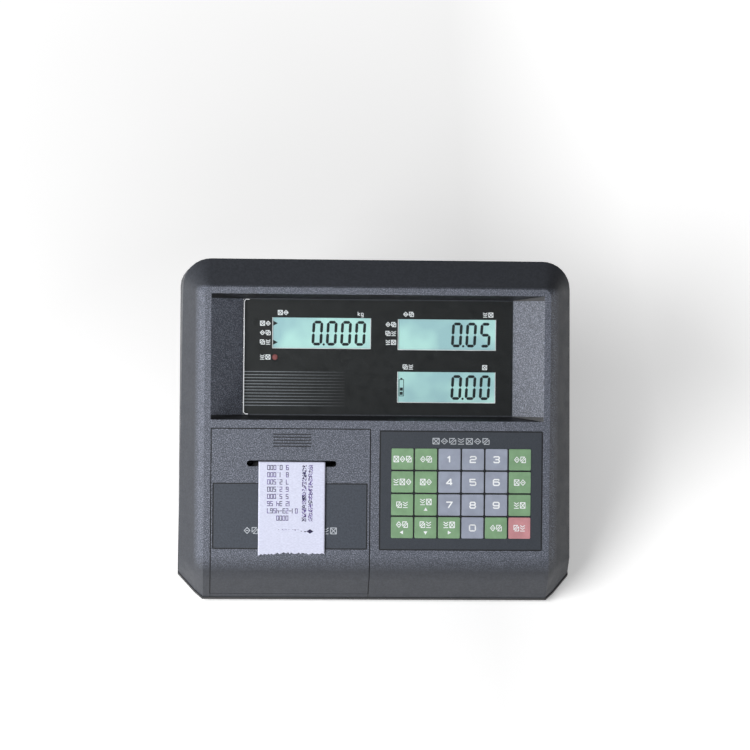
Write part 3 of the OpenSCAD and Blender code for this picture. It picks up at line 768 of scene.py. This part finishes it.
def lens_stripes():
    """The band of stripes that fades out to the right, printed on the mask."""
    stripes = Print(OUT * (MASK_HIGH.z + INK_GAP))
    for place in range(STRIPES):
        height = LENS_LOW.y + STRIPE_V + place * STRIPE_PITCH
        stripes.bar(LENS_LOW.x + STRIPE_U, height, STRIPE_W, STRIPE_H)
    stripes.finish("lens_stripes", stripe_material(), "case", "black_print")


TITLE_MARKS = 7
TITLE_HALF = 19.2 * MM                    # from the middle of the keypad to the left end of its title
TITLE_DROP = 6.9 * MM
TITLE_SIZE = (5.6 * MM, 4.2 * MM, 3.8 * MM)     # pitch, width and height of the patterns
LABEL_MARKS = 12
LABEL_ROW = (21.2 * MM, 12.4 * MM)        # left end and height of the line on the label
LABEL_SIZE = (5.25 * MM, 3.9 * MM, 4.0 * MM)
LABEL_LINE = 0.35 * MM


def pad_print():
    """The line of marks over the keys, and the marks and thin border on the cover label."""
    title = Print(OUT * (PAD_HIGH.z + INK_GAP))
    middle = (PAD_LOW.x + PAD_HIGH.x) / 2
    mark_row(title, middle - TITLE_HALF, PAD_HIGH.y - TITLE_DROP, TITLE_MARKS, 0, *TITLE_SIZE)
    title.finish("keypad_title", SILVER_INK, "case", "grey_plastic")
    label = Print(OUT * (LABEL_HIGH.z + INK_GAP))
    mark_row(label, LABEL_LOW.x + LABEL_ROW[0], LABEL_LOW.y + LABEL_ROW[1], LABEL_MARKS, 1, *LABEL_SIZE)
    label.finish("label_marks", SILVER_INK, "cover", "grey_plastic")
    border = Print(OUT * (LABEL_HIGH.z + INK_GAP))
    left, low = LABEL_LOW.x + LABEL_LINE, LABEL_LOW.y + LABEL_LINE
    right, high = LABEL_HIGH.x - LABEL_LINE, LABEL_HIGH.y - LABEL_LINE
    border.line([(left, low), (right, low), (right, high), (left, high), (left, low)], LABEL_LINE * 2)
    border.finish("label_border", BORDER_INK, "cover", "black_plastic")


RIM_HIGHLIGHT_LINE = 0.45 * MM


def window_rim_highlights():
    """A painted highlight on the edge of the mask along the left, lower and right side of each window."""
    sheet = Print(OUT * (MASK_HIGH.z + INK_GAP))
    for u, v, width, height in lcd_middles():
        left, right = u - width / 2, u + width / 2
        low, high = v - height / 2, v + height / 2
        # painted highlight: a bright line on the mask's cut edge round three sides of the window
        sheet.line([(left, high), (left, low), (right, low), (right, high)], RIM_HIGHLIGHT_LINE)
    sheet.finish("window_rim_highlights", HIGHLIGHT_WHITE, "case", "white_plastic")


EDGE_HIGHLIGHT_LINE = 0.5 * MM
EDGE_CORNER = 1.2 * MM                    # cut off each corner of the lens
EDGE_RUNS = (3.5 * MM, 3.0 * MM)          # how far the painted highlight turns along the upper and lower side


def paint_lens_edge_highlight():
    """A painted highlight on the cut left edge of the window, where it catches the light, with its two
    corners.
    """
    sheet = Print(OUT * (LENS_HIGH.z - INK_GAP))
    left, low, high = LENS_LOW.x + EDGE_HIGHLIGHT_LINE, LENS_LOW.y + EDGE_HIGHLIGHT_LINE, LENS_HIGH.y - EDGE_HIGHLIGHT_LINE
    sheet.line([(left + EDGE_RUNS[0], high), (left + EDGE_CORNER, high), (left, high - EDGE_CORNER),
                (left, low + EDGE_CORNER), (left + EDGE_CORNER, low), (left + EDGE_RUNS[1], low)], EDGE_HIGHLIGHT_LINE)
    sheet.finish("lens_edge_highlight", HIGHLIGHT_WHITE, "case", "lens_clear")


STRIPE_FADE = (20 * MM, 72 * MM)          # where the stripes fade, from the left edge of the lens
STRIPE_GREY = ((0.17, 0.18, 0.20), (0.22, 0.23, 0.25))
STRIPE_BLACK = ((0.006, 0.006, 0.007), (0.007, 0.007, 0.008))
STRIPE_GRAIN = 900


def stripe_material():
    """Grey print that fades out to the right."""
    shader = Shader("stripe_print")
    fade = shader.span(shader.along(tuple(ACROSS)), 1.0, 0.0, *(LENS_LOW.x + u for u in STRIPE_FADE))
    grey = shader.ramp(shader.noise(STRIPE_GRAIN), *STRIPE_GREY)
    black = shader.ramp(shader.noise(STRIPE_GRAIN), *STRIPE_BLACK)
    shader.wire(Base_Color=shader.mix(fade, black, grey))
    shader.set(Roughness=0.5)
    return shader.material


def kilogram(sheet, x, y, size=2.6 * MM):
    """The letters k and g, the unit, drawn with lines."""
    w = size * 0.5
    t = size * 0.16
    sheet.line([(x, y), (x, y + size)], t)
    sheet.line([(x + w, y + size * 0.65), (x, y + size * 0.3), (x + w, y)], t)
    gx = x + w * 1.7
    sheet.line([(gx + w, y + size * 0.65), (gx, y + size * 0.65), (gx, y), (gx + w, y)], t)
    sheet.line([(gx + w, y + size * 0.65), (gx + w, y - size * 0.35), (gx, y - size * 0.35)], t)


# ---- keys ----

NUMERALS = {(1, 3): "1", (1, 4): "2", (1, 5): "3", (2, 3): "4", (2, 4): "5", (2, 5): "6",
            (3, 3): "7", (3, 4): "8", (3, 5): "9", (4, 4): "0"}
# Strokes of the wide, square-shouldered figures, each on a square from 0 to 1.
FIGURES = {
    "1": [[(0.15, 0.72), (0.5, 1), (0.5, 0)]],
    "2": [[(0, 0.8), (0.15, 1), (0.85, 1), (1, 0.85), (1, 0.65), (0.85, 0.5), (0.15, 0.5), (0, 0.35), (0, 0),
           (1, 0)]],
    "3": [[(0, 0.85), (0.15, 1), (0.85, 1), (1, 0.8), (0.85, 0.52), (0.3, 0.52)],
          [(0.85, 0.52), (1, 0.2), (0.85, 0), (0.15, 0), (0, 0.15)]],
    "4": [[(1, 0.28), (0, 0.28), (0.65, 1), (0.75, 1), (0.75, 0)]],
    "5": [[(0.95, 1), (0, 1), (0, 0.58), (0.85, 0.58), (1, 0.43), (1, 0.15), (0.85, 0), (0.15, 0),
           (0, 0.15)]],
    "6": [[(1, 0.85), (0.85, 1), (0.15, 1), (0, 0.85), (0, 0.15), (0.15, 0), (0.85, 0), (1, 0.15), (1, 0.43),
           (0.85, 0.58), (0, 0.58)]],
    "7": [[(0, 1), (1, 1), (0.35, 0)]],
    "8": [[(0.5, 0.52), (0.15, 0.52), (0.05, 0.75), (0.2, 1), (0.8, 1), (0.95, 0.75), (0.85, 0.52), (1, 0.25),
           (0.85, 0), (0.15, 0), (0, 0.25), (0.15, 0.52), (0.85, 0.52)]],
    "9": [[(0, 0.15), (0.15, 0), (0.85, 0), (1, 0.15), (1, 0.85), (0.85, 1), (0.15, 1), (0, 0.85), (0, 0.57),
           (0.15, 0.42), (1, 0.42)]],
    "0": [[(0.5, 0), (0.15, 0), (0, 0.15), (0, 0.85), (0.15, 1), (0.85, 1), (1, 0.85), (1, 0.15), (0.85, 0),
           (0.5, 0)]],
}
ARROWS = {(3, 2): 90, (4, 1): 180, (4, 2): 270, (4, 3): 0}     # keys with an arrow, and its direction
WIDE_KEYS = {(1, 1), (2, 1)}              # keys with three patterns instead of two
FIGURE_W = 3.9 * MM
FIGURE_H = 3.9 * MM
FIGURE_LINE = 0.88 * MM
LEGEND_W = 3.2 * MM
LEGEND_H = 3.8 * MM
LEGEND_PITCH = 4.2 * MM
LEGEND_LIFT = 2.0 * MM                    # how far the patterns move up on a key with an arrow
ARROW_V = -3.2 * MM
ARROW_R = 1.5 * MM


def key_legend(row, column):
    """The figure of a numeral key, or the patterns and the arrow of another key."""
    node = f"key_r{row}c{column}"
    low, high = panel_box(node)
    middle = (low + high) / 2
    sheet = Print(panel_point(middle.x, middle.y, high.z + INK_GAP))
    if (row, column) in NUMERALS:
        for stroke in FIGURES[NUMERALS[row, column]]:
            sheet.line([((x - 0.5) * FIGURE_W, (y - 0.5) * FIGURE_H) for x, y in stroke], FIGURE_LINE)
    else:
        raised = LEGEND_LIFT if (row, column) in ARROWS else 0
        count = 3 if (row, column) in WIDE_KEYS else 2
        left = -((count - 1) * LEGEND_PITCH + LEGEND_W) / 2
        mark_row(sheet, left, raised, count, 3 * row + column, LEGEND_PITCH, LEGEND_W, LEGEND_H)
        if (row, column) in ARROWS:
            arrow_head(sheet, math.radians(ARROWS[row, column]))
    sheet.finish(f"legend_r{row}c{column}", WHITE_INK, f"key_{row}{column}", "white_plastic")


def arrow_head(sheet, angle):
    """A solid triangle that points along the angle."""
    turns = [angle + i * math.tau / 3 for i in range(3)]
    sheet.polygon([(ARROW_R * math.cos(turn), ARROW_V + ARROW_R * math.sin(turn)) for turn in turns])


# ---- paper slip ----

SLIP_COLUMNS = 44
SLIP_ROWS = 70
SLIP_T = 0.09 * MM
SLIP_RISE = 4.7 * MM                      # length of the strip inside the slot
SLIP_BEND = 1.0 * MM                      # radius of the fold over the edge of the slot
SLIP_GAP = 0.2 * MM                       # between the panel and the foot of the fold
SLIP_LEAN = 0.55                          # share of the fold's radius that the strip sinks by its torn end
SLIP_WAVE = 0.12 * MM
SLIP_WAVES = 9.0                          # radians of waviness along the strip
SLIP_CURL = 0.35 * MM                     # lift of the side edges at the torn end
SLIP_TOP = SLIP_HIGH.y + 0.9 * MM
SLIP_W = SLIP_HIGH.x - SLIP_LOW.x
SLIP_FALL = SLIP_TOP - SLIP_BEND - SLIP_LOW.y
FOLD_ANGLES = (-1, 0, 15, 30, 45, 60, 75)
TEAR_SEED = 7
TEAR_START = 0.8                          # the rows of the strip bend to the tear from this share of its fall
TEAR_ROUGH = 1.5 * MM
TEAR_SLOPE = (2.6 * MM, 1.6 * MM)         # the tear runs up as a root less a square across the strip


def slip_point(x, fall):
    """A spot on the strip: x from 0 to 1 across, fall from 0 at the fold to 1 at the torn end."""
    wave = SLIP_WAVE * math.sin(fall * SLIP_WAVES) * fall
    out = PANEL_N + SLIP_GAP + SLIP_BEND * (1 - SLIP_LEAN * fall) + wave
    curl = SLIP_CURL * abs(2 * x - 1) ** 3 * fall
    return panel_point(SLIP_LOW.x + x * SLIP_W, SLIP_TOP - SLIP_BEND - fall * SLIP_FALL, out + curl)


def slip_start(x, angle):
    """A spot on the fold, or straight below it in the slot where the angle is negative."""
    across = SLIP_LOW.x + x * SLIP_W
    if angle < 0:
        return panel_point(across, SLIP_TOP, PANEL_N + SLIP_GAP - SLIP_RISE)
    return panel_point(across, SLIP_TOP - SLIP_BEND * (1 - math.cos(angle)),
                       PANEL_N + SLIP_GAP + SLIP_BEND * math.sin(angle))


def torn_edge():
    """How far the torn end falls short of the full length, at each column across the strip."""
    rng = random.Random(TEAR_SEED)
    edge = []
    for column in range(SLIP_COLUMNS + 1):
        x = column / SLIP_COLUMNS
        slope = TEAR_SLOPE[0] * math.sqrt(x) - TEAR_SLOPE[1] * x * x
        edge.append((TEAR_ROUGH * rng.random() + slope) / SLIP_FALL)
    return edge


def build_slip():
    """The folded, torn strip that takes the place of the plain one."""
    edge = torn_edge()
    rows = [[slip_start(c / SLIP_COLUMNS, math.radians(angle)) for c in range(SLIP_COLUMNS + 1)]
            for angle in FOLD_ANGLES]
    for row in range(SLIP_ROWS + 1):
        fall = row / SLIP_ROWS
        late = max(0.0, (fall - TEAR_START) / (1 - TEAR_START))
        rows.append([slip_point(c / SLIP_COLUMNS, fall - edge[c] * late) for c in range(SLIP_COLUMNS + 1)])
    vertices = [spot for row in rows for spot in row]
    faces = []
    stride = SLIP_COLUMNS + 1
    for row in range(len(rows) - 1):
        for column in range(SLIP_COLUMNS):
            a = row * stride + column
            faces.append([a, a + stride, a + stride + 1, a + 1])
    piece = add_mesh("printed_slip", vertices, faces, MATERIALS["paper"], "cover", "paper")
    for polygon in piece.data.polygons:
        polygon.use_smooth = True
    thick = piece.modifiers.new("thickness", "SOLIDIFY")
    thick.thickness = SLIP_T
    thick.offset = 0
    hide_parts("paper_slip")


# Lines of plain numerals from the slot down. They stand on their heads, as the strip comes out.
SLIP_TEXTS = ["   9 0.000", "   8 1.000", "   7 2.500", "   6 2.500", "   5 5.000",
              "  12 34 56", "01-23-4567", "   0000"]
SLIP_FIRST = 2.8 * MM                     # middle of the first line below the fold
LINE_PITCH = 4.83 * MM
TEXT_RIGHT = 25.4 * MM
TEXT_PITCH = 2.08 * MM
GLYPH_W = 1.35 * MM
GLYPH_H = 2.9 * MM
DOT = 0.46 * MM
DOTS_A_BAR = 4
COLUMN_AT = (30.8 * MM, 35.0 * MM)        # the two close columns on the right
COLUMN_PITCH = 2.9 * MM
COLUMN_ROWS = 13
COLUMN_DOTS = 6                           # dots across and down in one cell of a column
PRINT_SEED = 3
DARK_NUMERALS = 0.3                       # share of the numerals in the dark ink
DARK_CELLS = 0.2                          # and of the cells of the columns
CELL_FILL = 0.5                           # share of a cell's dots that are there
SMEAR_AT = 44.4 * MM                      # the line of stray dots, from the fold
STRAY_DOTS = 14
STRAY_U = (10, 27)                        # where the stray dots lie across the strip, in millimetres
STRAY_V = (-0.3, 0.3)                     # and how far off their line
STRAY_SIZE = (0.9 * MM, 0.2 * MM)
BLOT_U = 34.6 * MM
BLOT_DROP = 1.0 * MM
BLOT_STEP = 0.5 * MM
BLOT_W = 0.55 * MM
BLOT_H = 3.0 * MM
BLOT_TAPER = 0.65 * MM                    # height that the blot loses at each step from its middle
# Two small marks at the left of the blot: across, below the line of dots, width and height.
SPOTS = ((31.4 * MM, 1.2 * MM, 1.4 * MM, 0.6 * MM), (28.8 * MM, 0.9 * MM, 0.7 * MM, 0.5 * MM))


def slip_quad(vertices, faces, across, down, width, height):
    """A small flat mark on the strip, from its middle in metres across and down."""
    start = len(vertices)
    for sx, sy in ((-1, 1), (1, 1), (1, -1), (-1, -1)):
        spot = slip_point((across + sx * width / 2) / SLIP_W, (down + sy * height / 2) / SLIP_FALL)
        vertices.append(spot + OUT * (SLIP_T / 2 + 2 * INK_GAP))
    faces.append([start, start + 1, start + 2, start + 3])


def slip_glyph(vertices, faces, figure, across, down):
    """One numeral in dots, upside down."""
    if figure == ".":
        slip_quad(vertices, faces, across, down - GLYPH_H / 2, DOT, DOT)
        return
    for bar in LIT[figure]:
        (x0, y0), (x1, y1) = bar_ends(bar, GLYPH_W, GLYPH_H)
        for i in range(DOTS_A_BAR):
            part = i / (DOTS_A_BAR - 1)
            x = x0 + (x1 - x0) * part - GLYPH_W / 2
            y = y0 + (y1 - y0) * part - GLYPH_H / 2
            slip_quad(vertices, faces, across - x, down + y, DOT, DOT)


def print_slip():
    """The numerals, the two columns of dots and the line of stray dots with its blot."""
    rng = random.Random(PRINT_SEED)
    pale, dark = ([], []), ([], [])
    for line, text in enumerate(SLIP_TEXTS):
        for place, figure in enumerate(text):
            ink = dark if rng.random() < DARK_NUMERALS else pale
            slip_glyph(*ink, figure, TEXT_RIGHT - place * TEXT_PITCH, SLIP_FIRST + line * LINE_PITCH)
    for row in range(COLUMN_ROWS):
        for across in COLUMN_AT:
            ink = dark if rng.random() < DARK_CELLS else pale
            slip_cell(*ink, rng, across, SLIP_FIRST + row * COLUMN_PITCH)
    for _ in range(STRAY_DOTS):
        slip_quad(*pale, rng.uniform(*STRAY_U) * MM, SMEAR_AT + rng.uniform(*STRAY_V) * MM, *STRAY_SIZE)
    for step in range(-4, 5):
        tall = BLOT_H - BLOT_TAPER * abs(step)
        slip_quad(*dark, BLOT_U + step * BLOT_STEP, SMEAR_AT + BLOT_DROP, BLOT_W, tall)
    for across, drop, width, height in SPOTS:
        slip_quad(*dark, across, SMEAR_AT + drop, width, height)
    add_mesh("slip_print", *pale, PURPLE_INK, "cover", "paper")
    add_mesh("slip_dark_print", *dark, NAVY_INK, "cover", "paper")


def slip_cell(vertices, faces, rng, across, down):
    """A patch of close random dots, as a row of very small print looks."""
    step = GLYPH_H / COLUMN_DOTS
    for i in range(COLUMN_DOTS):
        for j in range(COLUMN_DOTS):
            if rng.random() < CELL_FILL:
                x = across + (i - COLUMN_DOTS / 2) * step
                slip_quad(vertices, faces, x, down + (j - COLUMN_DOTS / 2) * step, step, step)


# ---- stage, light and camera ----

CAMERA_DISTANCE = 2.0
VIEW_WIDTH = 501.75 * MM                  # at the panel
AIM = (-2.06 * MM, 124.08 * MM)           # across, and up from the lower end of the flat panel
YAW, PITCH, ROLL = (math.radians(a) for a in (3.28, 0.67, -0.51))

FLOOR_SIZE = 12
FLOOR_GAP = 0.01 * MM                     # below the feet
FLOOR_TINTS = ((0.86, 0.86, 0.86), (0.90, 0.90, 0.90))
FLOOR_SCALE = 3
FLOOR_GLOW = (0.32, 0.7)                  # painted light: glow near the part and far from it
FLOOR_GLOW_AT = (0.3, 0.8)
SHADOW_LIFT_GLOW = 0.26                          # painted light added on the right, where it lifts the key lamp's shadow
SHADOW_LIFT_AT = (-0.05, 0.08)              # from the right side of the part


def add_floor():
    """A pale plain floor with painted light: it glows, more far from the part and on the right where it lifts
    the key lamp's shadow, so that it comes out nearly white.
    """
    bpy.ops.mesh.primitive_plane_add(size=FLOOR_SIZE, location=(0, 0, CAD_BOX[0].z - FLOOR_GAP))
    floor = bpy.context.object
    floor.name = "floor"
    shader = Shader("floor_paper")
    shader.wire(Base_Color=shader.ramp(shader.noise(FLOOR_SCALE, 2), *FLOOR_TINTS))
    distance = shader.add("ShaderNodeVectorMath", operation="LENGTH")
    shader.link(shader.place, distance.inputs[0])
    # painted light: the floor glows more far from the part and on the right, where the key lamp's shadow
    # falls
    far = shader.span(distance.outputs["Value"], *FLOOR_GLOW, *FLOOR_GLOW_AT)
    right = shader.span(shader.along(tuple(ACROSS)), 0.0, SHADOW_LIFT_GLOW,
                        *(CAD_BOX[1].x + x for x in SHADOW_LIFT_AT))
    shader.wire(Emission_Strength=shader.maths("ADD", far, right))
    shader.set(Roughness=0.9, Emission_Color=(1, 1, 1, 1))
    floor.data.materials.append(shader.material)


def add_light(name, direction, distance, size, power):
    """An area lamp aimed at the panel; direction is (across, up the slope, out)."""
    lamp = bpy.data.lights.new(name, "AREA")
    lamp.size = size
    lamp.energy = power
    obj = bpy.data.objects.new(name, lamp)
    bpy.context.scene.collection.objects.link(obj)
    way = panel_point(*direction).normalized()
    obj.location = panel_middle() + way * distance
    obj.rotation_mode = "QUATERNION"
    obj.rotation_quaternion = way.to_track_quat("Z", "Y")


def panel_middle():
    """The spot that the lamp is aimed at."""
    return panel_point(0, PANEL_LOW_V + PANEL_LENGTH / 2, PANEL_N)


WORLD_LIGHT = 0.08
KEY_WAY = (-0.92, 0.05, 1.0)              # from the panel to the lamp: across, up the slope and out
KEY_DISTANCE = 1.5
KEY_SIZE = 0.9
KEY_POWER = 30


def light_scene():
    """One soft lamp from the left over the panel, and a dim white surround."""
    world = bpy.data.worlds.new("studio")
    bpy.context.scene.world = world
    world.use_nodes = True
    world.node_tree.nodes["Background"].inputs["Color"].default_value = (1, 1, 1, 1)
    world.node_tree.nodes["Background"].inputs["Strength"].default_value = WORLD_LIGHT
    add_light("key", KEY_WAY, KEY_DISTANCE, KEY_SIZE, KEY_POWER)
    bpy.context.scene.view_settings.view_transform = "Standard"


def add_camera():
    """Looks at the panel nearly square on, with the small yaw, pitch and roll of the view."""
    turn = (Matrix.Rotation(ROLL, 3, "Z") @ Matrix.Rotation(PITCH, 3, "X") @ Matrix.Rotation(YAW, 3, "Y"))
    right, up, back = (panel_point(*row) for row in turn)
    camera = bpy.data.cameras.new("camera")
    camera.lens = camera.sensor_width * CAMERA_DISTANCE / VIEW_WIDTH
    obj = bpy.data.objects.new("camera", camera)
    bpy.context.scene.collection.objects.link(obj)
    aim = panel_point(AIM[0], PANEL_LOW_V + AIM[1], PANEL_N)
    pose = Matrix((right, up, back)).transposed().to_4x4()
    pose.translation = aim + back * CAMERA_DISTANCE
    obj.matrix_world = pose
    bpy.context.scene.camera = obj


# ---- build ----

dress_cad()
lcd_digits()
lens_print()
lens_stripes()
for r in range(1, 5):
    for c in range(1, 7):
        key_legend(r, c)
build_slip()
print_slip()
window_rim_highlights()
paint_lens_edge_highlight()
pad_print()
add_floor()
light_scene()
add_camera()
